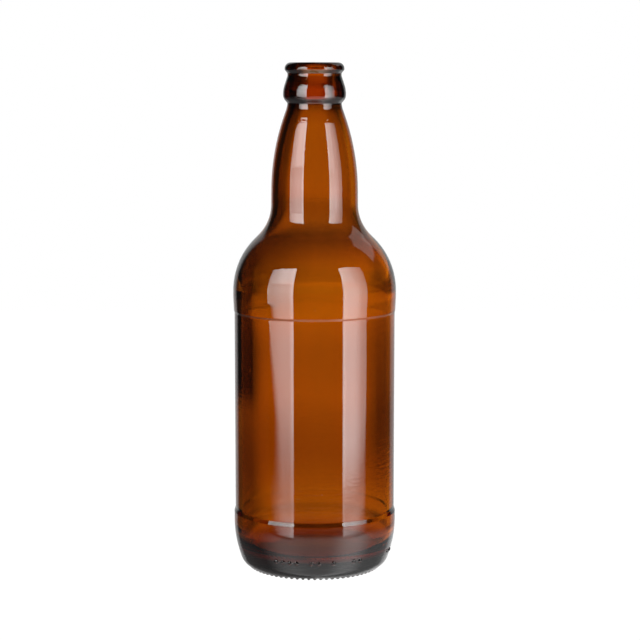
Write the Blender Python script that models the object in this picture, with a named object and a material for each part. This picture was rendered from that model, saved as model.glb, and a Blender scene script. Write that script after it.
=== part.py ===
"""An empty, open half-litre beer bottle of brown glass, as one hollow solid.

From the ground up it has a ring of small radial teeth to stand on, a rounded heel with a row of
moulded dots, a label panel sunk between two contact bands, a round shoulder, a tapering neck and a
crown finish. Units are metres with +Z up. The axis is Z, and the teeth stand on z = 0.
"""

import math

import bmesh
import bpy
from mathutils import Matrix, Vector

MM = 0.001

# Heights, in millimetres above the ground
TOP = 227.4
CREASE = 209.4
SHOULDER_TOP = 156.5
SHOULDER = 139.5
PANEL_TOP = 116.2
PANEL_FOOT = 26.4
HEEL_TOP = 13.4
HEEL_FOOT = 2.33

# Outside radii, in millimetres
BAND_R = 36.6
PANEL_R = 36.07
NECK_R = 19.49
NECK_TOP_R = 19.24
CREASE_R = 11.98
BEAD_R = 14.0
COLLAR_R = 12.03
LIP_R = 13.28
HEEL_FOOT_R = 32.91

# Glass thickness and the bore of the mouth, in millimetres
WALL = 2.8
NECK_WALL = 3.0
FLOOR = 7.9
FLOOR_RISE = 1.6
BORE_R = 8.35

# Standing ring and the push-up inside it, in millimetres
TEETH = 72
TOOTH_DEPTH = 0.9
TOOTH_IN_R = 27.0
TOOTH_OUT_R = 30.0
RING_IN_R = 26.2
RING_OUT_R = 30.91
PUSH_UP = 4.4

# Moulded dots on the heel: one row of equal slots, some of them empty
DOT_R = 1.05
DOT_RISE = 0.55
DOT_HEIGHT = 8.6
DOT_SLOT = 5.33
DOT_ROW_START = -29.0
DOT_ROW = "****.**.*..**"
SIDE_DOTS = (70.0, 75.3)

# Sides of the turned body, and how many tooth ring points go with each
SIDES = 48
TOOTH_POINTS = 4
SPLIT = TEETH * TOOTH_POINTS // SIDES

GLASS_COLOUR = (0.367, 0.072, 0.0015, 1.0)


def clear_scene():
    for old in list(bpy.data.objects):
        bpy.data.objects.remove(old, do_unlink=True)


def round_corner(before, corner, after, radius, steps):
    """Points of the arc that rounds one corner of an outline."""
    corner = Vector(corner)
    to_before = (Vector(before) - corner).normalized()
    to_after = (Vector(after) - corner).normalized()
    half = to_before.angle(to_after) / 2
    centre = corner + (to_before + to_after).normalized() * (radius / math.sin(half))
    arm = corner + to_before * (radius / math.tan(half)) - centre
    turn = math.copysign(math.pi - 2 * half, to_after.cross(to_before))
    points = []
    for step in range(steps + 1):
        point = centre + Matrix.Rotation(turn * step / steps, 2) @ arm
        points.append((point.x, point.y))
    return points


def outline(corners):
    """Radius and height along a chain of corners, each (radius, height, rounding, steps)."""
    points = []
    for index, (radius, height, rounding, steps) in enumerate(corners):
        if rounding == 0:
            points.append((radius, height))
            continue
        before = corners[index - 1][:2]
        after = corners[index + 1][:2]
        points += round_corner(before, (radius, height), after, rounding, steps)
    return points


def outside():
    """The outer surface from the heel up to the rim of the mouth."""
    return outline([
        (RING_OUT_R, TOOTH_DEPTH, 0, 0),
        (HEEL_FOOT_R, HEEL_FOOT, 6.6, 4),
        (BAND_R, HEEL_TOP, 49.1, 4),
        (BAND_R, PANEL_FOOT - 1.0, 0.8, 1),
        (PANEL_R, PANEL_FOOT + 0.5, 0.8, 1),
        (PANEL_R, PANEL_TOP, 0.6, 1),
        (BAND_R - 0.27, PANEL_TOP + 0.9, 1.2, 1),
        (BAND_R, PANEL_TOP + 7.0, 20.0, 1),
        (BAND_R, SHOULDER, 32.65, 6),
        (NECK_R, SHOULDER_TOP, 19.4, 5),
        (NECK_TOP_R, 188.1, 101.6, 4),
        (CREASE_R, CREASE, 1.4, 3),
        (BEAD_R, TOP - 15.7, 4.1, 4),
        (BEAD_R, TOP - 11.9, 13.5, 2),
        (COLLAR_R, TOP - 5.9, 1.4, 1),
        (COLLAR_R, TOP - 4.8, 0.5, 1),
        (LIP_R, TOP - 3.3, 1.2, 2),
        (LIP_R, TOP, 2.7, 5),
        (LIP_R - 3.4, TOP, 0, 0),
    ])


def inside():
    """The inner surface from the rim of the mouth down to the floor."""
    inner = PANEL_R - WALL
    return outline([
        (LIP_R - 3.4, TOP, 0, 0),
        (BORE_R, TOP, 1.4, 3),
        (BORE_R, TOP - 14.0, 0, 0),
        (BORE_R + 0.5, TOP - 19.5, 10.0, 1),
        (NECK_TOP_R - NECK_WALL, 187.2, 98.6, 4),
        (NECK_R - NECK_WALL, SHOULDER_TOP + 1.2, 22.4, 4),
        (inner, SHOULDER + 0.4, 29.8, 5),
        (inner, FLOOR, 9.0, 4),
        (22.0, FLOOR, 0, 0),
        (10.0, FLOOR + FLOOR_RISE * 0.8, 0, 0),
        (0.0, FLOOR + FLOOR_RISE, 0, 0),
    ])[1:]


def ring(bm, radius, height, count=SIDES):
    """One turned row of points, or a single point on the axis."""
    if radius == 0:
        return [bm.verts.new((0.0, 0.0, height * MM))]
    row = []
    for k in range(count):
        angle = math.tau * k / count
        row.append(bm.verts.new((radius * MM * math.cos(angle), radius * MM * math.sin(angle), height * MM)))
    return row


def tooth_ring(bm, radius):
    """A row round the standing ring, down on each tooth's crest and up in the gaps."""
    row = []
    count = TEETH * TOOTH_POINTS
    for k in range(count):
        angle = math.tau * (k - 0.5) / count
        height = 0.0 if k % TOOTH_POINTS < 2 else TOOTH_DEPTH
        row.append(bm.verts.new((radius * MM * math.cos(angle), radius * MM * math.sin(angle), height * MM)))
    return row


def skin(bm, first, second):
    """Faces between two rows of equal count, or from a row to the point on the axis."""
    count = max(len(first), len(second))
    for k in range(count):
        after = (k + 1) % count
        corners = [first[k % len(first)], first[after % len(first)]]
        corners += [second[after % len(second)], second[k % len(second)]]
        bm.faces.new(list(dict.fromkeys(corners)))


def fan(bm, coarse, fine, turned):
    """Triangles between a plain row and the finer row of the teeth."""
    for k in range(len(coarse)):
        after = (k + 1) % len(coarse)
        span = [fine[(k * SPLIT + j) % len(fine)] for j in range(SPLIT + 1)]
        triangles = [(coarse[k], coarse[after], span[SPLIT // 2])]
        for j in range(SPLIT):
            near = coarse[k] if j < SPLIT // 2 else coarse[after]
            triangles.append((near, span[j + 1], span[j]))
        for corners in triangles:
            bm.faces.new(corners[::-1] if turned else corners)


def glass_material():
    material = bpy.data.materials.new("brown glass")
    material.use_nodes = True
    shader = material.node_tree.nodes["Principled BSDF"]
    shader.inputs["Base Color"].default_value = GLASS_COLOUR
    shader.inputs["Roughness"].default_value = 0.04
    shader.inputs["Metallic"].default_value = 0.0
    shader.inputs["IOR"].default_value = 1.52
    shader.inputs["Transmission Weight"].default_value = 0.9
    material.diffuse_color = GLASS_COLOUR
    return material


def add_object(name, bm):
    mesh = bpy.data.meshes.new(name)
    bm.to_mesh(mesh)
    bm.free()
    mesh.shade_smooth()
    mesh.set_sharp_from_angle(angle=math.radians(32))
    made = bpy.data.objects.new(name, mesh)
    bpy.context.scene.collection.objects.link(made)
    return made


def turned_bottle():
    """Push-up, standing ring, outer wall, mouth and inner wall as one closed skin."""
    bm = bmesh.new()
    push_up = []
    for part in (0.0, 0.3, 0.6, 0.85, 1.0):
        height = PUSH_UP - (PUSH_UP - TOOTH_DEPTH) * part ** 2
        push_up.append(ring(bm, RING_IN_R * part, height))
    for lower, upper in zip(push_up, push_up[1:]):
        skin(bm, lower, upper)
    crest_in = tooth_ring(bm, TOOTH_IN_R)
    crest_out = tooth_ring(bm, TOOTH_OUT_R)
    fan(bm, push_up[-1], crest_in, turned=False)
    skin(bm, crest_in, crest_out)
    rows = [ring(bm, radius, height) for radius, height in outside() + inside()]
    fan(bm, rows[0], crest_out, turned=True)
    for lower, upper in zip(rows, rows[1:]):
        skin(bm, lower, upper)
    return add_object("bottle", bm)


def heel_point(height):
    """Radius and outward lean of the heel at a height."""
    chain = outside()
    for (r0, z0), (r1, z1) in zip(chain, chain[1:]):
        if z0 <= height <= z1:
            part = (height - z0) / (z1 - z0)
            return r0 + (r1 - r0) * part, math.atan2(r1 - r0, z1 - z0)
    raise ValueError("no heel at that height")


def add_dot(bm, azimuth):
    """A low round button on the heel, at an angle from the front towards +X."""
    radius, lean = heel_point(DOT_HEIGHT)
    ball = (DOT_R ** 2 + DOT_RISE ** 2) / (2 * DOT_RISE)
    depth = ball - DOT_RISE
    normal = Vector((math.cos(lean), 0.0, -math.sin(lean)))
    centre = Vector((radius, 0.0, DOT_HEIGHT)) - normal * depth
    turn = Matrix.Rotation(math.radians(azimuth - 90.0), 4, "Z")
    tilt = normal.to_track_quat("Z", "Y").to_matrix().to_4x4()
    place = turn @ Matrix.Translation(centre * MM) @ tilt
    bmesh.ops.create_uvsphere(bm, u_segments=12, v_segments=8, radius=ball * MM, matrix=place)


def heel_dots():
    bm = bmesh.new()
    for slot, mark in enumerate(DOT_ROW):
        if mark == "*":
            add_dot(bm, DOT_ROW_START + DOT_SLOT * slot)
    for azimuth in SIDE_DOTS:
        add_dot(bm, azimuth)
    dots = add_object("heel dots", bm)
    dots.hide_render = True
    dots.display_type = "WIRE"
    return dots


def main():
    clear_scene()
    bottle = turned_bottle()
    bottle.data.materials.append(glass_material())
    join = bottle.modifiers.new("dots", "BOOLEAN")
    join.operation = "UNION"
    join.object = heel_dots()


main()
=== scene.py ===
"""A brown glass beer bottle, empty and open, standing on a white table in front of a white backdrop."""

import math

import bpy
from mathutils import Matrix, Vector


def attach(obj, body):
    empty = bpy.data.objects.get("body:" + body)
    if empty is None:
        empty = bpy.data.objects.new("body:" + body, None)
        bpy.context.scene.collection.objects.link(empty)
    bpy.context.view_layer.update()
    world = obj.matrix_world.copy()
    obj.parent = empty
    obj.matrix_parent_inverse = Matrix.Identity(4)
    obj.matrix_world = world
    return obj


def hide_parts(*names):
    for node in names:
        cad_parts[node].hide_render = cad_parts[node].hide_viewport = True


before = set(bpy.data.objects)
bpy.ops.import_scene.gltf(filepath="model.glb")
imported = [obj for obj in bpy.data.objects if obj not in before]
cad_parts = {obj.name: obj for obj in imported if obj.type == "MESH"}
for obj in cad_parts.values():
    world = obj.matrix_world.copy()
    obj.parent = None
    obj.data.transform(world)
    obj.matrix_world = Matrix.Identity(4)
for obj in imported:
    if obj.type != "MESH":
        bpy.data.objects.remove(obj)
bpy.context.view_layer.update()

MM = 0.001

# Heights, in millimetres above the table
TOP = 227.4
CREASE = 209.4
SHOULDER_TOP = 156.5
SHOULDER = 139.5
PANEL_TOP = 116.2
PANEL_FOOT = 26.4
HEEL_TOP = 13.4
HEEL_FOOT = 2.33

# Outside radii, in millimetres
BAND_R = 36.6
PANEL_R = 36.07
NECK_R = 19.49
NECK_TOP_R = 19.24
CREASE_R = 11.98
BEAD_R = 14.0
COLLAR_R = 12.03
LIP_R = 13.28
HEEL_FOOT_R = 32.91

# Glass thickness and the bore of the mouth, in millimetres
WALL = 2.8
NECK_WALL = 3.0
FLOOR = 7.9
FLOOR_RISE = 1.6
BORE_R = 8.35

# Standing ring and push-up, in millimetres
TEETH = 72
TOOTH_DEPTH = 0.9
TOOTH_IN_R = 27.0
TOOTH_OUT_R = 30.0
RING_IN_R = 26.2
RING_OUT_R = 30.91
PUSH_UP = 4.4

# Moulded dots on the heel
DOT_R = 1.05
DOT_RISE = 0.55
DOT_HEIGHT = 8.6
DOT_SLOT = 5.33
DOT_ROW_START = -29.0
DOT_ROW = "****.**.*..**"
SIDE_DOTS = (70.0, 75.3)

# Brown glass: what one skin lets through, and what a depth of it lets through at this density per metre
GLASS_TINT = "#edc595"
GLASS_DEPTH = "#f3db00"
GLASS_DENSITY = 774.0

# Heights in millimetres, with how clear the outer skin is there, partly the wall's own depth of brown and
# partly painted light and shade, and how much green it lets through
BAND_TONES_AND_SHADE = (
    (0, 0.95, 0.85), (7, 0.95, 0.85), (11.4, 0.93, 0.9), (15, 0.95, 1), (18.5, 0.98, 1.1),
    (22, 1.1, 1.15), (30, 1.05, 1.08), (45, 0.93, 0.94), (116, 0.97, 1), (119, 0.98, 1.14),
    (129, 1, 1.14), (133, 1.15, 1.08), (138, 1.15, 1), (145, 0.75, 0.85),
    (151, 0.55, 0.85), (158, 0.75, 0.95), (175, 0.8, 1.05), (200, 0.83, 1.12), (205, 0.7, 1.05),
    (210.5, 0.26, 1.1), (212.8, 0.19, 1.15), (216.3, 0.3, 1.1), (219.9, 0.48, 1.25), (222.6, 0.9, 1.25),
    (224.2, 1.1, 1.25), (224.9, 0.19, 1), (227.4, 0.13, 1),
)

# Heights in millimetres, with how deep the ripples in the outer skin are there
RIPPLES = ((0, 0.2), (28, 0.4), (45, 0.9), (60, 0.5), (75, 0.2), (110, 0.15), (190, 0.3), (200, 1.2),
           (205, 2.2), (214, 2.6), (221, 2.6), (223.5, 3.0), (225, 6.0), (227.4, 6.0))

# Heights in millimetres, with how much light the painted shade leaves at the sides, where the glass is seen
# edge on
PAINTED_SIDE_SHADE = ((0, 1.0), (196, 1.0), (204, 0.75), (210, 0.15), (212, 0.03), (227.4, 0.03))

# Heights in millimetres, with how dull the outer skin is there, and the inner wall with the underside
SKIN_DULL = ((0, 0.0), (209, 0.0), (212, 0.13), (222.8, 0.1), (224.3, 0.32), (227.4, 0.32))
CORE_DULL = ((0, 0.34), (20, 0.34), (34, 0.0), (227.4, 0.0))

# Columns of faces round the bottle: six to each tooth
SIDES = TEETH * 6

# How far the inner wall waves in and out, in millimetres
INNER_WAVE = 0.3

# How close to the ends of a straight run of the outline an extra point lies, in millimetres
RUN_END = 0.35


# Small helpers

def linear(hex_colour):
    """An sRGB hex colour as the linear values that a shader takes."""
    def channel(pair):
        value = int(pair, 16) / 255
        return value / 12.92 if value <= 0.04045 else ((value + 0.055) / 1.055) ** 2.4
    return tuple(channel(hex_colour[i:i + 2]) for i in (1, 3, 5)) + (1.0,)


def empty_tree(owner):
    """The cleared node tree of a material or a world."""
    owner.use_nodes = True
    owner.node_tree.nodes.clear()
    return owner.node_tree


def add(tree, kind, inputs=None, **settings):
    """Adds one node with its settings; an input is a value, or a socket to link from."""
    made = tree.nodes.new(kind)
    for name, value in settings.items():
        setattr(made, name, value)
    for key, value in (inputs or {}).items():
        if isinstance(value, bpy.types.NodeSocket):
            tree.links.new(value, made.inputs[key])
        else:
            made.inputs[key].default_value = value
    return made


def between(tree, value, low, high, edge):
    """One where a value lies between two limits, with soft edges of a given width."""
    rise = add(tree, "ShaderNodeMapRange", {0: value, 1: low - edge / 2, 2: low + edge / 2},
               interpolation_type="SMOOTHSTEP").outputs[0]
    fall = add(tree, "ShaderNodeMapRange", {0: value, 1: high + edge / 2, 2: high - edge / 2},
               interpolation_type="SMOOTHSTEP").outputs[0]
    return add(tree, "ShaderNodeMath", {0: rise, 1: fall}, operation="MULTIPLY").outputs[0]


def slope(tree, value, start, end, low, high):
    """A level that goes evenly from one value to another, and stays flat past both ends."""
    return add(tree, "ShaderNodeMapRange", {0: value, 1: start, 2: end, 3: low, 4: high}).outputs[0]


def total(tree, operation, first, *others):
    """Several values added, multiplied or taken from the first."""
    for other in others:
        first = add(tree, "ShaderNodeMath", {0: first, 1: other}, operation=operation).outputs[0]
    return first


def degrees(tree, value):
    return add(tree, "ShaderNodeMath", {0: value}, operation="DEGREES").outputs[0]


def ramp(tree, value, stops):
    """A level read off a row of (value, level) stops."""
    first, last = stops[0][0], stops[-1][0]
    place = add(tree, "ShaderNodeMapRange", {0: value, 1: first, 2: last}).outputs[0]
    made = add(tree, "ShaderNodeValToRGB", {0: place})
    steps = made.color_ramp.elements
    low = min(level for spot, level in stops)
    high = max(level for spot, level in stops)
    for spot, level in stops[1:-1]:
        steps.new((spot - first) / (last - first))
    for step, (spot, level) in zip(steps, stops):
        share = (level - low) / (high - low)
        step.color = (share, share, share, 1.0)
    return add(tree, "ShaderNodeMapRange", {0: made.outputs[0], 3: low, 4: high}).outputs[0]


# The bottle's outline

def round_corner(before, corner, after, radius, steps):
    """Points of the arc that rounds one corner of an outline."""
    corner = Vector(corner)
    to_before = (Vector(before) - corner).normalized()
    to_after = (Vector(after) - corner).normalized()
    half = to_before.angle(to_after) / 2
    centre = corner + (to_before + to_after).normalized() * (radius / math.sin(half))
    arm = corner + to_before * (radius / math.tan(half)) - centre
    turn = math.copysign(math.pi - 2 * half, to_after.cross(to_before))
    points = []
    for step in range(steps + 1):
        point = centre + Matrix.Rotation(turn * step / steps, 2) @ arm
        points.append((point.x, point.y))
    return points


def run_ends(start, end):
    """A point close to each end of a long straight run, so that its shading stays straight in between."""
    length = math.dist(start, end)
    if length < 4 * RUN_END:
        return []
    part = RUN_END / length
    return [(start[0] + (end[0] - start[0]) * p, start[1] + (end[1] - start[1]) * p)
            for p in (part, 1 - part)]


def outline(corners):
    """Radius and height along a chain of corners, each (radius, height, rounding, steps)."""
    points = []
    for index, (radius, height, rounding, steps) in enumerate(corners):
        arc = [(radius, height)]
        if rounding:
            before, after = corners[index - 1][:2], corners[index + 1][:2]
            arc = round_corner(before, (radius, height), after, rounding, steps)
        if points:
            points += run_ends(points[-1], arc[0])
        points += arc
    return points


def outside():
    return outline([
        (RING_OUT_R, TOOTH_DEPTH, 0, 0),
        (HEEL_FOOT_R, HEEL_FOOT, 6.6, 8),
        (BAND_R, HEEL_TOP, 49.1, 14),
        (BAND_R, PANEL_FOOT - 1.0, 0.8, 3),
        (PANEL_R, PANEL_FOOT + 0.5, 0.8, 3),
        (PANEL_R, PANEL_TOP, 0.6, 3),
        (BAND_R - 0.27, PANEL_TOP + 0.9, 1.2, 3),
        (BAND_R, PANEL_TOP + 7.0, 20.0, 2),
        (BAND_R, SHOULDER, 32.65, 16),
        (NECK_R, SHOULDER_TOP, 19.4, 12),
        (NECK_TOP_R, 188.1, 101.6, 10),
        (CREASE_R + 0.45, CREASE - 2.2, 6.0, 4),
        (CREASE_R + 0.05, CREASE, 1.0, 5),
        (BEAD_R, TOP - 15.7, 3.9, 6),
        (BEAD_R, TOP - 11.9, 13.5, 6),
        (COLLAR_R, TOP - 5.9, 1.4, 3),
        (COLLAR_R, TOP - 4.8, 0.5, 3),
        (LIP_R, TOP - 3.3, 1.2, 4),
        (LIP_R, TOP, 2.7, 8),
        (LIP_R - 3.4, TOP, 0, 0),
    ])


def inside():
    inner = PANEL_R - WALL
    return outline([
        (LIP_R - 3.4, TOP, 0, 0),
        (BORE_R, TOP, 1.4, 5),
        (BORE_R, TOP - 14.0, 0, 0),
        (BORE_R + 0.5, TOP - 19.5, 10.0, 3),
        (NECK_TOP_R - NECK_WALL, 187.2, 98.6, 8),
        (NECK_R - NECK_WALL, SHOULDER_TOP + 1.2, 22.4, 8),
        (inner, SHOULDER + 0.4, 29.8, 10),
        (inner, FLOOR, 9.0, 8),
        (22.0, FLOOR, 0, 0),
        (10.0, FLOOR + FLOOR_RISE * 0.8, 0, 0),
        (0.0, FLOOR + FLOOR_RISE, 0, 0),
    ])[1:]


def underside():
    """Push-up and standing ring, from the axis out to the heel; each point with its share of the teeth."""
    points = []
    for k in range(6):
        part = k / 5
        height = PUSH_UP - (PUSH_UP - TOOTH_DEPTH) * part ** 2
        points.append((RING_IN_R * part, height, 0.0))
    steps = 3
    for k in range(1, steps + 1):
        part = k / steps
        points.append((TOOTH_IN_R + (TOOTH_OUT_R - TOOTH_IN_R) * part, 0.0, 1.0))
    return points


def outline_object():
    """The whole outline as a chain of points, with each point's share of the teeth and of the inner wall."""
    chain = [(r, z, tooth, 0.0) for r, z, tooth in underside()]
    chain += [(r, z, 0.0, 0.0) for r, z in outside()]
    chain += [(r, z, 0.0, min(1.0, (TOP - z) / 2)) for r, z in inside()]
    mesh = bpy.data.meshes.new("outline")
    mesh.from_pydata([(r * MM, 0.0, z * MM) for r, z, tooth, inner in chain], [], [])
    for name, column in (("tooth", 2), ("inner", 3)):
        store = mesh.attributes.new(name, "FLOAT", "POINT")
        for k, point in enumerate(chain):
            store.data[k].value = point[column]
    made = bpy.data.objects.new("bottle_glass", mesh)
    bpy.context.scene.collection.objects.link(made)
    return made


def heel_point(height):
    """Radius and outward lean of the heel at a height."""
    chain = outside()
    for (r0, z0), (r1, z1) in zip(chain, chain[1:]):
        if z0 <= height <= z1:
            return r0 + (r1 - r0) * (height - z0) / (z1 - z0), math.atan2(r1 - r0, z1 - z0)
    raise ValueError("no heel at that height")


def dot_ball():
    """Radius of the ball that a dot is the cap of."""
    return (DOT_R ** 2 + DOT_RISE ** 2) / (2 * DOT_RISE)


def dot_centres():
    """The centres of the dots' balls, as loose points under the heel's surface."""
    angles = [DOT_ROW_START + DOT_SLOT * k for k, mark in enumerate(DOT_ROW) if mark == "*"]
    angles += SIDE_DOTS
    radius, lean = heel_point(DOT_HEIGHT)
    depth = dot_ball() - DOT_RISE
    radius = (radius - depth * math.cos(lean)) * MM
    height = (DOT_HEIGHT + depth * math.sin(lean)) * MM
    points = []
    for angle in angles:
        turn = math.radians(angle - 90)
        points.append((radius * math.cos(turn), radius * math.sin(turn), height))
    mesh = bpy.data.meshes.new("dot centres")
    mesh.from_pydata(points, [], [])
    made = bpy.data.objects.new("dot centres", mesh)
    bpy.context.scene.collection.objects.link(made)
    return made


# Turning the outline into glass

def turning_tree():
    """Turns the outline about Z, rolls the teeth under it and raises the dots on the heel."""
    tree = bpy.data.node_groups.new("turned bottle", "GeometryNodeTree")
    face = tree.interface
    face.new_socket("Outline", in_out="INPUT", socket_type="NodeSocketGeometry")
    face.new_socket("Dot Centres", in_out="INPUT", socket_type="NodeSocketObject")
    face.new_socket("Sides", in_out="INPUT", socket_type="NodeSocketInt")
    face.new_socket("Teeth", in_out="INPUT", socket_type="NodeSocketInt")
    face.new_socket("Tooth Depth", in_out="INPUT", socket_type="NodeSocketFloat")
    face.new_socket("Dot Ball", in_out="INPUT", socket_type="NodeSocketFloat")
    face.new_socket("Inner Wave", in_out="INPUT", socket_type="NodeSocketFloat")
    face.new_socket("Glass", in_out="INPUT", socket_type="NodeSocketMaterial")
    face.new_socket("Bottle", in_out="OUTPUT", socket_type="NodeSocketGeometry")
    given = tree.nodes.new("NodeGroupInput").outputs

    # A sheet with one row for each point of the outline and one column for each side
    size = add(tree, "GeometryNodeAttributeDomainSize", {"Geometry": given["Outline"]}, component="MESH")
    rows = size.outputs["Point Count"]
    columns = total(tree, "ADD", given["Sides"], 1.0)
    sheet = add(tree, "GeometryNodeMeshGrid", {"Vertices X": columns, "Vertices Y": rows})
    index = add(tree, "GeometryNodeInputIndex").outputs[0]
    row = total(tree, "MODULO", index, rows)
    part = total(tree, "DIVIDE", index, rows)
    column = add(tree, "ShaderNodeMath", {0: part}, operation="FLOOR").outputs[0]
    angle = total(tree, "MULTIPLY", total(tree, "DIVIDE", column, given["Sides"]), math.tau)

    # Each row takes its radius, height, tooth share and wall share from the outline
    place = add(tree, "GeometryNodeInputPosition").outputs[0]
    point = add(tree, "GeometryNodeSampleIndex", {"Geometry": given["Outline"], "Value": place, "Index": row},
                data_type="FLOAT_VECTOR", domain="POINT")
    apart = add(tree, "ShaderNodeSeparateXYZ", {0: point.outputs[0]}).outputs
    shares = {}
    for name in ("tooth", "inner"):
        named = add(tree, "GeometryNodeInputNamedAttribute", {"Name": name}, data_type="FLOAT")
        taken = add(tree, "GeometryNodeSampleIndex",
                    {"Geometry": given["Outline"], "Value": named.outputs[0], "Index": row},
                    data_type="FLOAT", domain="POINT")
        shares[name] = taken.outputs[0]

    # Rounded gaps between the teeth
    wave = add(tree, "ShaderNodeMath", {0: total(tree, "MULTIPLY", angle, given["Teeth"])},
               operation="COSINE")
    gap = add(tree, "ShaderNodeMapRange", {0: wave.outputs[0], 1: 0.7, 2: -0.7},
              interpolation_type="SMOOTHSTEP").outputs[0]
    tooth_gap = total(tree, "MULTIPLY", gap, given["Tooth Depth"], shares["tooth"])
    height = total(tree, "ADD", apart["Z"], tooth_gap)

    across = add(tree, "ShaderNodeMath", {0: angle}, operation="COSINE").outputs[0]
    along = add(tree, "ShaderNodeMath", {0: angle}, operation="SINE").outputs[0]
    turned = add(tree, "ShaderNodeCombineXYZ", {
        0: total(tree, "MULTIPLY", across, apart["X"]),
        1: total(tree, "MULTIPLY", along, apart["X"]),
        2: height,
    }).outputs[0]
    kept = add(tree, "GeometryNodeStoreNamedAttribute",
               {"Geometry": sheet.outputs["Mesh"], "Name": "inner wall", "Value": shares["inner"]},
               data_type="FLOAT", domain="POINT")
    shape = add(tree, "GeometryNodeSetPosition", {"Geometry": kept.outputs[0], "Position": turned})
    closed = add(tree, "GeometryNodeMergeByDistance", {"Geometry": shape.outputs[0], "Distance": 0.00001})

    # Slow waves in the inner wall, as pressed and blown glass has
    place = add(tree, "GeometryNodeInputPosition").outputs[0]
    noise = add(tree, "ShaderNodeTexNoise", {"Vector": place, "Scale": 34.0, "Detail": 1.0, "W": 1.7},
                noise_dimensions="4D").outputs[0]
    wall = add(tree, "GeometryNodeInputNamedAttribute", {"Name": "inner wall"}, data_type="FLOAT").outputs[0]
    deep = total(tree, "MULTIPLY", total(tree, "SUBTRACT", noise, 0.5), given["Inner Wave"], wall)
    facing = add(tree, "GeometryNodeInputNormal").outputs[0]
    push = add(tree, "ShaderNodeVectorMath", {0: facing, "Scale": deep}, operation="SCALE")
    wavy = add(tree, "GeometryNodeSetPosition", {"Geometry": closed.outputs[0], "Offset": push.outputs[0]})

    # One low round button for each centre, joined to the heel with a crisp foot
    centres = add(tree, "GeometryNodeObjectInfo", {"Object": given["Dot Centres"]},
                  transform_space="ORIGINAL")
    ball = add(tree, "GeometryNodeMeshUVSphere", {"Segments": 28, "Rings": 20, "Radius": given["Dot Ball"]})
    balls = add(tree, "GeometryNodeInstanceOnPoints", {
        "Points": add(tree, "GeometryNodeMeshToPoints", {"Mesh": centres.outputs["Geometry"]}).outputs[0],
        "Instance": ball.outputs["Mesh"],
    })
    loose = add(tree, "GeometryNodeRealizeInstances", {"Geometry": balls.outputs[0]})
    joined = add(tree, "GeometryNodeMeshBoolean", operation="UNION", solver="EXACT")
    tree.links.new(wavy.outputs[0], joined.inputs["Mesh"])
    tree.links.new(loose.outputs[0], joined.inputs["Mesh"])
    smooth = add(tree, "GeometryNodeSetShadeSmooth", {"Geometry": joined.outputs["Mesh"]})
    bend = add(tree, "GeometryNodeInputMeshEdgeAngle").outputs["Unsigned Angle"]
    crisp = add(tree, "ShaderNodeMath", {0: bend, 1: math.radians(36)}, operation="GREATER_THAN").outputs[0]
    smooth = add(tree, "GeometryNodeSetShadeSmooth",
                 {"Geometry": smooth.outputs[0], "Selection": crisp, "Shade Smooth": False}, domain="EDGE")
    real = add(tree, "GeometryNodeRealizeInstances", {"Geometry": smooth.outputs[0]})
    dressed = add(tree, "GeometryNodeSetMaterial", {"Geometry": real.outputs[0], "Material": given["Glass"]})
    add(tree, "NodeGroupOutput", {0: dressed.outputs[0]})
    return tree


def turn_bottle(glass):
    """The finished bottle as one plain closed mesh."""
    made = outline_object()
    centres = dot_centres()
    tree = turning_tree()
    turning = made.modifiers.new("turned bottle", "NODES")
    turning.node_group = tree
    sizes = {
        "Dot Centres": centres,
        "Sides": SIDES,
        "Teeth": TEETH,
        "Tooth Depth": TOOTH_DEPTH * MM,
        "Dot Ball": dot_ball() * MM,
        "Inner Wave": INNER_WAVE * MM,
        "Glass": glass,
    }
    for socket in tree.interface.items_tree:
        if socket.in_out == "INPUT" and socket.name in sizes:
            turning[socket.identifier] = sizes[socket.name]
    made.update_tag()
    graph = bpy.context.evaluated_depsgraph_get()
    mesh = bpy.data.meshes.new_from_object(made.evaluated_get(graph))
    made.modifiers.remove(turning)
    made.data = mesh
    bpy.data.objects.remove(centres, do_unlink=True)
    return made


# Glass

def glass_tint_and_painted_shade(tree, place, level, inner):
    """Brown that changes with height, partly as the wall does and partly as painted light and shade, with
    faint cords, and painted shade at the finish's sides.
    """
    red, green, blue = linear(GLASS_TINT)[:3]
    # How clear the glass looks at each height: partly the wall's own depth, partly painted light and shade
    clear = ramp(tree, level, [(z / TOP, clear) for z, clear, green_share in BAND_TONES_AND_SHADE])
    greenness = ramp(tree, level, [(z / TOP, green_share) for z, clear_share, green_share in BAND_TONES_AND_SHADE])
    outer = add(tree, "ShaderNodeCombineColor", {
        0: total(tree, "MULTIPLY", clear, red),
        1: total(tree, "MULTIPLY", clear, greenness, green),
        2: total(tree, "MULTIPLY", clear, blue),
    }).outputs[0]
    tint = add(tree, "ShaderNodeMix", {"Factor": inner, 6: outer, 7: linear(GLASS_TINT)},
               data_type="RGBA").outputs[2]

    # Upright cords where the glass was stirred, about 25 mm apart
    drawn = add(tree, "ShaderNodeMapping", {"Vector": place, "Scale": (40.0, 40.0, 16.0)}).outputs[0]
    cords = add(tree, "ShaderNodeTexNoise", {"Vector": drawn, "Scale": 1.0, "Detail": 3.0}).outputs[0]

    # Painted shade towards the sides of the finish, where the thick glass turns edge on to the view
    facing = add(tree, "ShaderNodeLayerWeight", {"Blend": 0.5}).outputs["Facing"]
    left = ramp(tree, level, [(z / TOP, value) for z, value in PAINTED_SIDE_SHADE])
    sideways = slope(tree, facing, 0.10, 0.34, 0.0, 1.0)
    kept = add(tree, "ShaderNodeMix", {"Factor": sideways, "A": 1.0, "B": left}, data_type="FLOAT").outputs[0]
    strength = total(tree, "MULTIPLY", kept, slope(tree, cords, 0.3, 0.7, 0.95, 1.04))
    return add(tree, "ShaderNodeVectorMath", {0: tint, "Scale": strength}, operation="SCALE").outputs[0]


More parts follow.
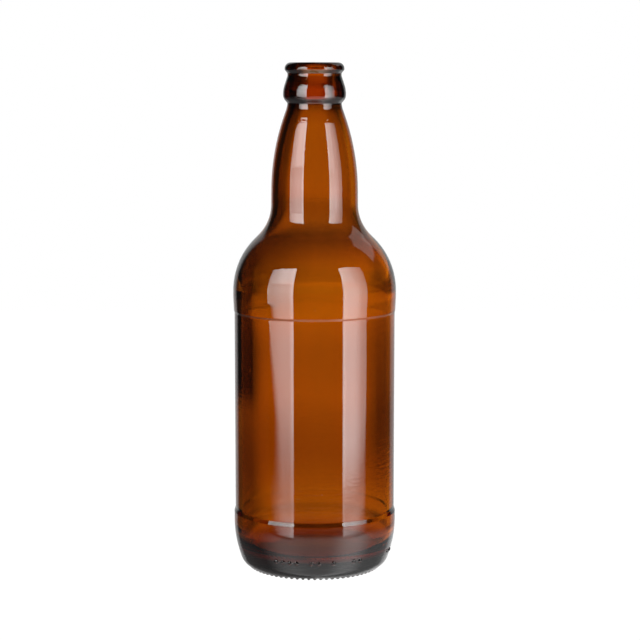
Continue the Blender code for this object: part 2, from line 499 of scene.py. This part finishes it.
def glass_relief(tree, place, level):
    """Washboard ripples a millimetre high and six long, and seeds: bubbles a third of a millimetre across."""
    washed = add(tree, "ShaderNodeMapping", {
        "Vector": place, "Scale": (1 / (6 * MM), 1 / (6 * MM), 1 / (1.1 * MM))}).outputs[0]
    ripples = add(tree, "ShaderNodeTexNoise", {"Vector": washed, "Scale": 1.0, "Detail": 2.0}).outputs[0]
    ripples = total(tree, "MULTIPLY", ripples, ramp(tree, level, [(z / TOP, depth) for z, depth in RIPPLES]))
    spread = add(tree, "ShaderNodeTexVoronoi", {"Vector": place, "Scale": 1 / (9 * MM)}).outputs["Distance"]
    seeds = slope(tree, spread, 0.35 / 9, 0.0, 0.0, 2.5)
    return add(tree, "ShaderNodeBump", {
        "Strength": 1.0, "Distance": 0.02 * MM, "Height": total(tree, "ADD", ripples, seeds)}).outputs[0]


def glass_dullness(tree, place, level, inner):
    """Roughness: a little on the lip, and on the floor and the underside, which cooled against the mould."""
    flat = add(tree, "ShaderNodeVectorMath", {0: place, 1: (1.0, 1.0, 0.0)}, operation="MULTIPLY").outputs[0]
    radius = add(tree, "ShaderNodeVectorMath", {0: flat}, operation="LENGTH").outputs["Value"]
    core = total(tree, "MAXIMUM", inner, total(tree, "LESS_THAN", radius, TOOTH_OUT_R * MM))
    return add(tree, "ShaderNodeMix", {
        "Factor": core,
        "A": ramp(tree, level, [(z / TOP, value) for z, value in SKIN_DULL]),
        "B": ramp(tree, level, [(z / TOP, value) for z, value in CORE_DULL]),
    }, data_type="FLOAT").outputs[0]


def amber_glass():
    """Amber container glass, soda-lime, pressed and blown: clear and glossy, and brown by its depth."""
    material = bpy.data.materials.new("amber container glass")
    tree = empty_tree(material)
    place = add(tree, "ShaderNodeTexCoord").outputs["Object"]
    height = add(tree, "ShaderNodeSeparateXYZ", {0: place}).outputs["Z"]
    level = total(tree, "MULTIPLY", height, 1 / (TOP * MM))
    wall = add(tree, "ShaderNodeAttribute", attribute_name="inner wall").outputs["Fac"]
    inner = total(tree, "GREATER_THAN", wall, 0.5)
    shader = add(tree, "ShaderNodeBsdfPrincipled", {
        "Base Color": glass_tint_and_painted_shade(tree, place, level, inner),
        "Roughness": glass_dullness(tree, place, level, inner),
        "IOR": 1.52,
        "Transmission Weight": 1.0,
        "Normal": glass_relief(tree, place, level),
    })
    depth = add(tree, "ShaderNodeVolumeAbsorption", {"Color": linear(GLASS_DEPTH), "Density": GLASS_DENSITY})
    add(tree, "ShaderNodeOutputMaterial", {"Surface": shader.outputs[0], "Volume": depth.outputs[0]})
    return material


# Table, backdrop, lights and camera

WHITE = "#ffffff"


def lit_surface(name, level):
    """A white surface that glows evenly, as a lit one looks."""
    material = bpy.data.materials.new(name)
    tree = empty_tree(material)
    glow = add(tree, "ShaderNodeEmission", {"Color": linear(WHITE), "Strength": level})
    add(tree, "ShaderNodeOutputMaterial", {"Surface": glow.outputs[0]})
    return material


def shoulder_shade_film():
    """A film, seen only through the glass, that paints shade on the left of the shoulder: it lets through
    less and less towards the left, and fades out at its lower and upper edge.
    """
    material = bpy.data.materials.new("film of painted shade")
    tree = empty_tree(material)
    apart = add(tree, "ShaderNodeSeparateXYZ", {0: add(tree, "ShaderNodeTexCoord").outputs["Object"]}).outputs
    level = ramp(tree, apart["X"], SHOULDER_SHADE_FILM)
    here = total(tree, "MULTIPLY", slope(tree, apart["Z"], 0.102, 0.124, 0.0, 1.0),
                 slope(tree, apart["Z"], 0.156, 0.149, 0.0, 1.0))
    clear = add(tree, "ShaderNodeMix", {"Factor": here, "A": 1.0, "B": level}, data_type="FLOAT").outputs[0]
    seen = add(tree, "ShaderNodeBsdfTransparent", {
        "Color": add(tree, "ShaderNodeCombineColor", {0: clear, 1: clear, 2: clear}).outputs[0]})
    add(tree, "ShaderNodeOutputMaterial", {"Surface": seen.outputs[0]})
    return material


def plane(name, corners, material):
    mesh = bpy.data.meshes.new(name)
    mesh.from_pydata(corners, [], [tuple(range(len(corners)))])
    mesh.materials.append(material)
    made = bpy.data.objects.new(name, mesh)
    bpy.context.scene.collection.objects.link(made)
    return made


# How far under the bottle's feet the table and its shaded patch lie, in metres
TABLE_DROP = 0.0002
SHADE_DROP = 0.0001


def studio():
    """White table under the bottle, its shaded patch, and the card behind the shoulder that paints shade on
    the shoulder's left side.
    """
    white = lit_surface("lit white acrylic", 1.05)
    corners = ((-0.6, -0.3), (0.6, -0.3), (0.6, 0.9), (-0.6, 0.9))
    table = plane("table", [(x, y, -TABLE_DROP) for x, y in corners], white)
    table.visible_glossy = False
    table.visible_transmission = False
    turns = [math.tau * k / 48 for k in range(48)]
    shade_r = TOOTH_IN_R * MM
    shade = plane("shade under the foot",
                  [(shade_r * math.cos(a), shade_r * math.sin(a), -SHADE_DROP) for a in turns],
                  lit_surface("table in the bottle's shade", 0.25))
    shade.visible_camera = False
    shade.visible_glossy = False
    # A card seen only through the glass, with painted shade for the left of the shoulder
    card = plane("card behind the shoulder", [(-0.08, 0.06, 0.098), (0.08, 0.06, 0.098),
                                              (0.08, 0.06, 0.157), (-0.08, 0.06, 0.157)], shoulder_shade_film())
    card.visible_camera = False
    card.visible_glossy = False


# How much light the film behind the shoulder lets through, as painted shade on the shoulder's left, by metres
# from the axis towards +X
SHOULDER_SHADE_FILM = ((-0.08, 0.28), (-0.032, 0.28), (-0.022, 0.36), (-0.014, 0.49), (-0.007, 0.64), (0.0, 0.78),
        (0.008, 0.84), (0.02, 0.90), (0.03, 1.0), (0.08, 1.0))

# Levels of what shows through the glass, by degrees above the horizon
BACKDROP = ((-90, 0.45), (-30, 0.5), (-22, 0.72), (-16.5, 0.74), (-14.2, 0.66), (-12.9, 0.72),
            (-12.2, 0.56), (-11.1, 0.58), (-10.3, 0.69), (-9.8, 0.8), (-9.4, 0.76), (-8.6, 0.68),
            (-8.1, 0.76), (-7.8, 0.79), (-7.4, 0.95), (-6.7, 1.02), (0, 1), (6, 1), (16, 0.25),
            (90, 0.3))

# How much the flags beside the backdrop hide, by degrees above the horizon, and where the left one ends
LEFT_FLAG = ((-90, 0.8), (-14.5, 0.8), (-13.3, 0.6), (-12.9, 0.75), (-12.2, 0.71), (-11.4, 0.52),
             (-11, 0.39), (-10.25, 0.36), (-10, 0.99), (-4.5, 0.99), (-3.2, 0.8), (90, 0.8))
LEFT_FLAG_END = ((-90, -6.0), (-14, -6.0), (-11, -8.0), (-8.6, -6.8), (-7.2, -8.3), (-6.6, -9.6),
                 (-5.0, -10.5), (-3.0, -9.5), (90, -9.5))
RIGHT_FLAG = ((-90, 0), (-13, 0), (-12.2, 0.2), (-11.8, 0.4), (-11.1, 0.72), (-10.4, 0.68), (-9.6, 0.54),
              (-8.5, 0.42), (-7.76, 0.32), (-7.6, 0), (-5, 0), (-3.5, 0.28), (90, 0.28))


def surroundings():
    """The studio as seen from the bottle: azimuth 0 is the front and +90 is +X, in degrees."""
    world = bpy.data.worlds.new("studio")
    bpy.context.scene.world = world
    tree = empty_tree(world)
    ray = add(tree, "ShaderNodeTexCoord").outputs["Generated"]
    apart = add(tree, "ShaderNodeSeparateXYZ", {0: ray}).outputs
    front = total(tree, "MULTIPLY", apart["Y"], -1.0)
    azimuth = degrees(tree, total(tree, "ARCTAN2", apart["X"], front))
    behind = degrees(tree, total(tree, "ARCTAN2", apart["X"], apart["Y"]))
    elevation = degrees(tree, add(tree, "ShaderNodeMath", {0: apart["Z"]}, operation="ARCSINE").outputs[0])

    # The white backdrop, as far round as it reaches
    behind_left = total(tree, "MULTIPLY", between(tree, azimuth, -400, -146, 10),
                        slope(tree, azimuth, -145, -165, 0.4, 0.62), between(tree, elevation, -90, 36, 8))
    behind_right = total(tree, "MULTIPLY", between(tree, azimuth, 140, 400, 8),
                         slope(tree, azimuth, 140, 176, 0.4, 0.62), between(tree, elevation, -90, 60, 8))
    high_right = total(tree, "MULTIPLY", between(tree, azimuth, 112, 143, 3),
                       between(tree, elevation, 26, 50, 4), slope(tree, azimuth, 116, 134, 0.9, 0.7))

    # The white table below
    below = between(tree, elevation, -100, -15.5, 5)
    table = total(tree, "MULTIPLY", below, between(tree, azimuth, -70, 400, 44),
                  slope(tree, azimuth, 70, 120, 1.0, 0.5), slope(tree, elevation, -60, -17, 1.3, 0.9))
    under_left = total(tree, "MULTIPLY", below, between(tree, azimuth, -56, -24, 34), 0.35)
    far_left = total(tree, "MULTIPLY", below, between(tree, azimuth, -150, -60, 30),
                     slope(tree, elevation, -60, -17, 0.4, 0.08))
    under_right = total(tree, "MULTIPLY", below, between(tree, azimuth, 36, 78, 36),
                        slope(tree, elevation, -60, -16, 0.8, 1.9))

    mirrored = total(tree, "ADD", behind_left, behind_right, high_right,
                     table, under_left, far_left, under_right, 0.02)

    # What shows through the glass: a white surround, a dark ceiling, and dark flags beside the backdrop
    backdrop = ramp(tree, elevation, BACKDROP)
    left_end = ramp(tree, elevation, LEFT_FLAG_END)
    left_cover = add(tree, "ShaderNodeMapRange", {
        0: behind, 1: total(tree, "ADD", left_end, 3.0), 2: total(tree, "SUBTRACT", left_end, 3.0),
    }, interpolation_type="SMOOTHSTEP").outputs[0]
    left_flag = total(tree, "MULTIPLY", left_cover, between(tree, behind, -75, 400, 4),
                      ramp(tree, elevation, LEFT_FLAG))
    neck_flag = total(tree, "MULTIPLY", between(tree, behind, -70, -27, 8),
                      slope(tree, elevation, -4.5, -3.5, 0.0, 0.85))
    right_flag = total(tree, "MULTIPLY", between(tree, behind, 7.0, 75, 8), ramp(tree, elevation, RIGHT_FLAG))
    open_part = total(tree, "MULTIPLY", total(tree, "SUBTRACT", 1.0, left_flag),
                      total(tree, "SUBTRACT", 1.0, neck_flag), total(tree, "SUBTRACT", 1.0, right_flag),
                      slope(tree, behind, 6, 28, 1.0, 1.32))
    through = total(tree, "MULTIPLY", backdrop, open_part)
    path = add(tree, "ShaderNodeLightPath").outputs
    by_glass = add(tree, "ShaderNodeMix",
                   {"Factor": path["Is Transmission Ray"], "A": mirrored, "B": through},
                   data_type="FLOAT")
    level = add(tree, "ShaderNodeMix", {"Factor": path["Is Camera Ray"], "A": by_glass.outputs[0], "B": 1.0},
                data_type="FLOAT")
    glow = add(tree, "ShaderNodeBackground", {"Color": linear(WHITE), "Strength": level.outputs[0]})
    add(tree, "ShaderNodeOutputWorld", {"Surface": glow.outputs[0]})


def box_cloth(name, width, box):
    """White diffusing cloth, lit unevenly from behind and cut off by a flag at its lower outer corner."""
    material = bpy.data.materials.new(name)
    tree = empty_tree(material)
    apart = add(tree, "ShaderNodeSeparateXYZ", {0: add(tree, "ShaderNodeTexCoord").outputs["Object"]}).outputs
    across = total(tree, "DIVIDE", apart["X"], width)
    upper = slope(tree, apart["Z"], box["seam"] - 0.006, box["seam"] + 0.006, 0.0, 1.0)
    level = add(tree, "ShaderNodeMix", {"Factor": upper, "A": ramp(tree, across, box["below"]),
                                        "B": ramp(tree, across, box["above"])}, data_type="FLOAT").outputs[0]
    fade = ramp(tree, apart["Z"], box["rise"])
    edge = ramp(tree, apart["Z"], box["edge"])
    soft = ramp(tree, apart["Z"], box["soft"])
    corner = add(tree, "ShaderNodeMapRange", {
        0: across, 1: total(tree, "ADD", edge, soft), 2: total(tree, "SUBTRACT", edge, soft),
    }, interpolation_type="SMOOTHSTEP").outputs[0]
    glow = add(tree, "ShaderNodeEmission", {
        "Color": linear(WHITE), "Strength": total(tree, "MULTIPLY", level, fade, corner)})
    add(tree, "ShaderNodeOutputMaterial", {"Surface": glow.outputs[0]})
    return material


def softbox(name, inner, outer, box):
    """A tall softbox between two places on the ground, each (azimuth, distance); box holds its levels."""
    ends = []
    for azimuth, distance in (inner, outer):
        turn = math.radians(azimuth - 90)
        ends.append(Vector((distance * math.cos(turn), distance * math.sin(turn), 0.0)))
    width = (ends[1] - ends[0]).length
    mesh = bpy.data.meshes.new(name)
    low, high = box["low"], box["high"]
    mesh.from_pydata([(0, 0, low), (width, 0, low), (width, 0, high), (0, 0, high)],
                     [], [(0, 1, 2, 3)])
    made = bpy.data.objects.new(name, mesh)
    made.location = ends[0]
    along = ends[1] - ends[0]
    made.rotation_euler = (0, 0, math.atan2(along.y, along.x))
    mesh.materials.append(box_cloth(name + " cloth", width, box))
    made.visible_camera = False
    made.visible_transmission = False
    bpy.context.scene.collection.objects.link(made)
    return made


LEFT_BOX = {
    "low": -0.15, "high": 0.556, "seam": 0.276,
    "below": ((0.0, 6.4), (0.04, 8.2), (0.08, 7.6), (0.11, 5.8), (0.22, 5.5), (0.34, 5.5), (0.5, 4.9),
              (0.7, 4.2), (0.8, 3.8), (0.88, 4.4), (1.0, 4.2)),
    "above": ((0.0, 8.6), (0.06, 10.4), (0.1, 10.0), (0.15, 8.6), (0.25, 9.2), (0.4, 9.0), (0.5, 8.2),
              (0.6, 6.9), (0.8, 5.8), (0.9, 4.8), (1.0, 3.8)),
    "rise": ((-0.15, 0.1), (-0.129, 0.12), (-0.123, 0.6), (-0.1, 0.6), (-0.091, 0.38), (-0.065, 0.46),
             (-0.0447, 0.6), (-0.022, 0.8), (0.0, 0.9), (0.03, 0.97), (0.06, 1.0), (0.19, 1.25),
             (0.27, 1.05), (0.30, 1.0), (0.556, 1.0)),
    "edge": ((-0.15, 0.42), (-0.129, 0.45), (-0.113, 0.50), (-0.0885, 0.53), (-0.064, 0.53), (-0.0395, 0.55),
             (-0.015, 0.68), (0.001, 0.80), (0.017, 0.90), (0.035, 1.2), (0.556, 1.2)),
    "soft": ((-0.15, 0.6), (-0.129, 0.6), (-0.113, 0.5), (-0.0885, 0.26), (-0.064, 0.2), (-0.0395, 0.16),
             (-0.015, 0.2), (0.001, 0.18), (0.017, 0.06), (0.04, 0.03), (0.556, 0.03)),
}
RIGHT_BOX = {
    "low": -0.10, "high": 0.435, "seam": 0.237,
    "below": ((0.0, 5.0), (0.05, 9.8), (0.10, 8.6), (0.14, 7.9), (0.2, 7.9), (0.35, 7.6), (0.5, 6.6),
              (0.6, 5.5), (0.7, 4.2), (0.8, 3.6), (0.9, 3.4), (1.0, 2.6)),
    "above": ((0.0, 6.0), (0.05, 9.8), (0.1, 8.4), (0.2, 7.4), (0.29, 7.6), (0.36, 6.6), (0.45, 5.3),
              (0.6, 4.6), (0.8, 2.9), (1.0, 2.2)),
    "rise": ((-0.10, 0.2), (-0.08, 0.3), (-0.073, 0.48), (-0.064, 0.46), (-0.057, 0.36), (-0.046, 0.46),
             (-0.034, 0.72), (-0.0138, 0.97), (0.15, 1.0), (0.22, 0.85), (0.25, 1.0), (0.435, 0.95)),
    "edge": ((-0.10, 0.9), (-0.04, 0.92), (-0.01, 0.98), (0.01, 1.2), (0.435, 1.2)),
    "soft": ((-0.10, 0.2), (-0.04, 0.12), (0.0, 0.05), (0.435, 0.03)),
}


# The camera, in metres, degrees and millimetres
CAMERA_PLACE = (0.0, -0.8344, 0.2233)
CAMERA_TURN = -0.167
CAMERA_TILT = -7.5785
CAMERA_LENS = 105.0


def camera():
    data = bpy.data.cameras.new("camera")
    data.lens = CAMERA_LENS
    data.sensor_width = 36.0
    data.clip_start = 0.01
    made = bpy.data.objects.new("camera", data)
    bpy.context.scene.collection.objects.link(made)
    turn = Matrix.Rotation(math.radians(CAMERA_TURN), 4, "Z")
    aim = turn @ Matrix.Rotation(math.radians(90 + CAMERA_TILT), 4, "X")
    made.matrix_world = Matrix.Translation(CAMERA_PLACE) @ aim
    bpy.context.scene.camera = made


def photographic_settings():
    scene = bpy.context.scene
    scene.view_settings.view_transform = "Standard"
    scene.view_settings.look = "None"
    scene.cycles.max_bounces = 24
    scene.cycles.transmission_bounces = 24
    scene.cycles.glossy_bounces = 12
    scene.cycles.transparent_max_bounces = 16
    scene.cycles.use_denoising = True


bottle = turn_bottle(amber_glass())
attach(bottle, "root")
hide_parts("bottle")

studio()
surroundings()
softbox("left softbox", (-28.8, 0.54), (-67.9, 0.749), LEFT_BOX)
softbox("right softbox", (38.4, 0.40), (76.9, 0.518), RIGHT_BOX)
camera()
photographic_settings()
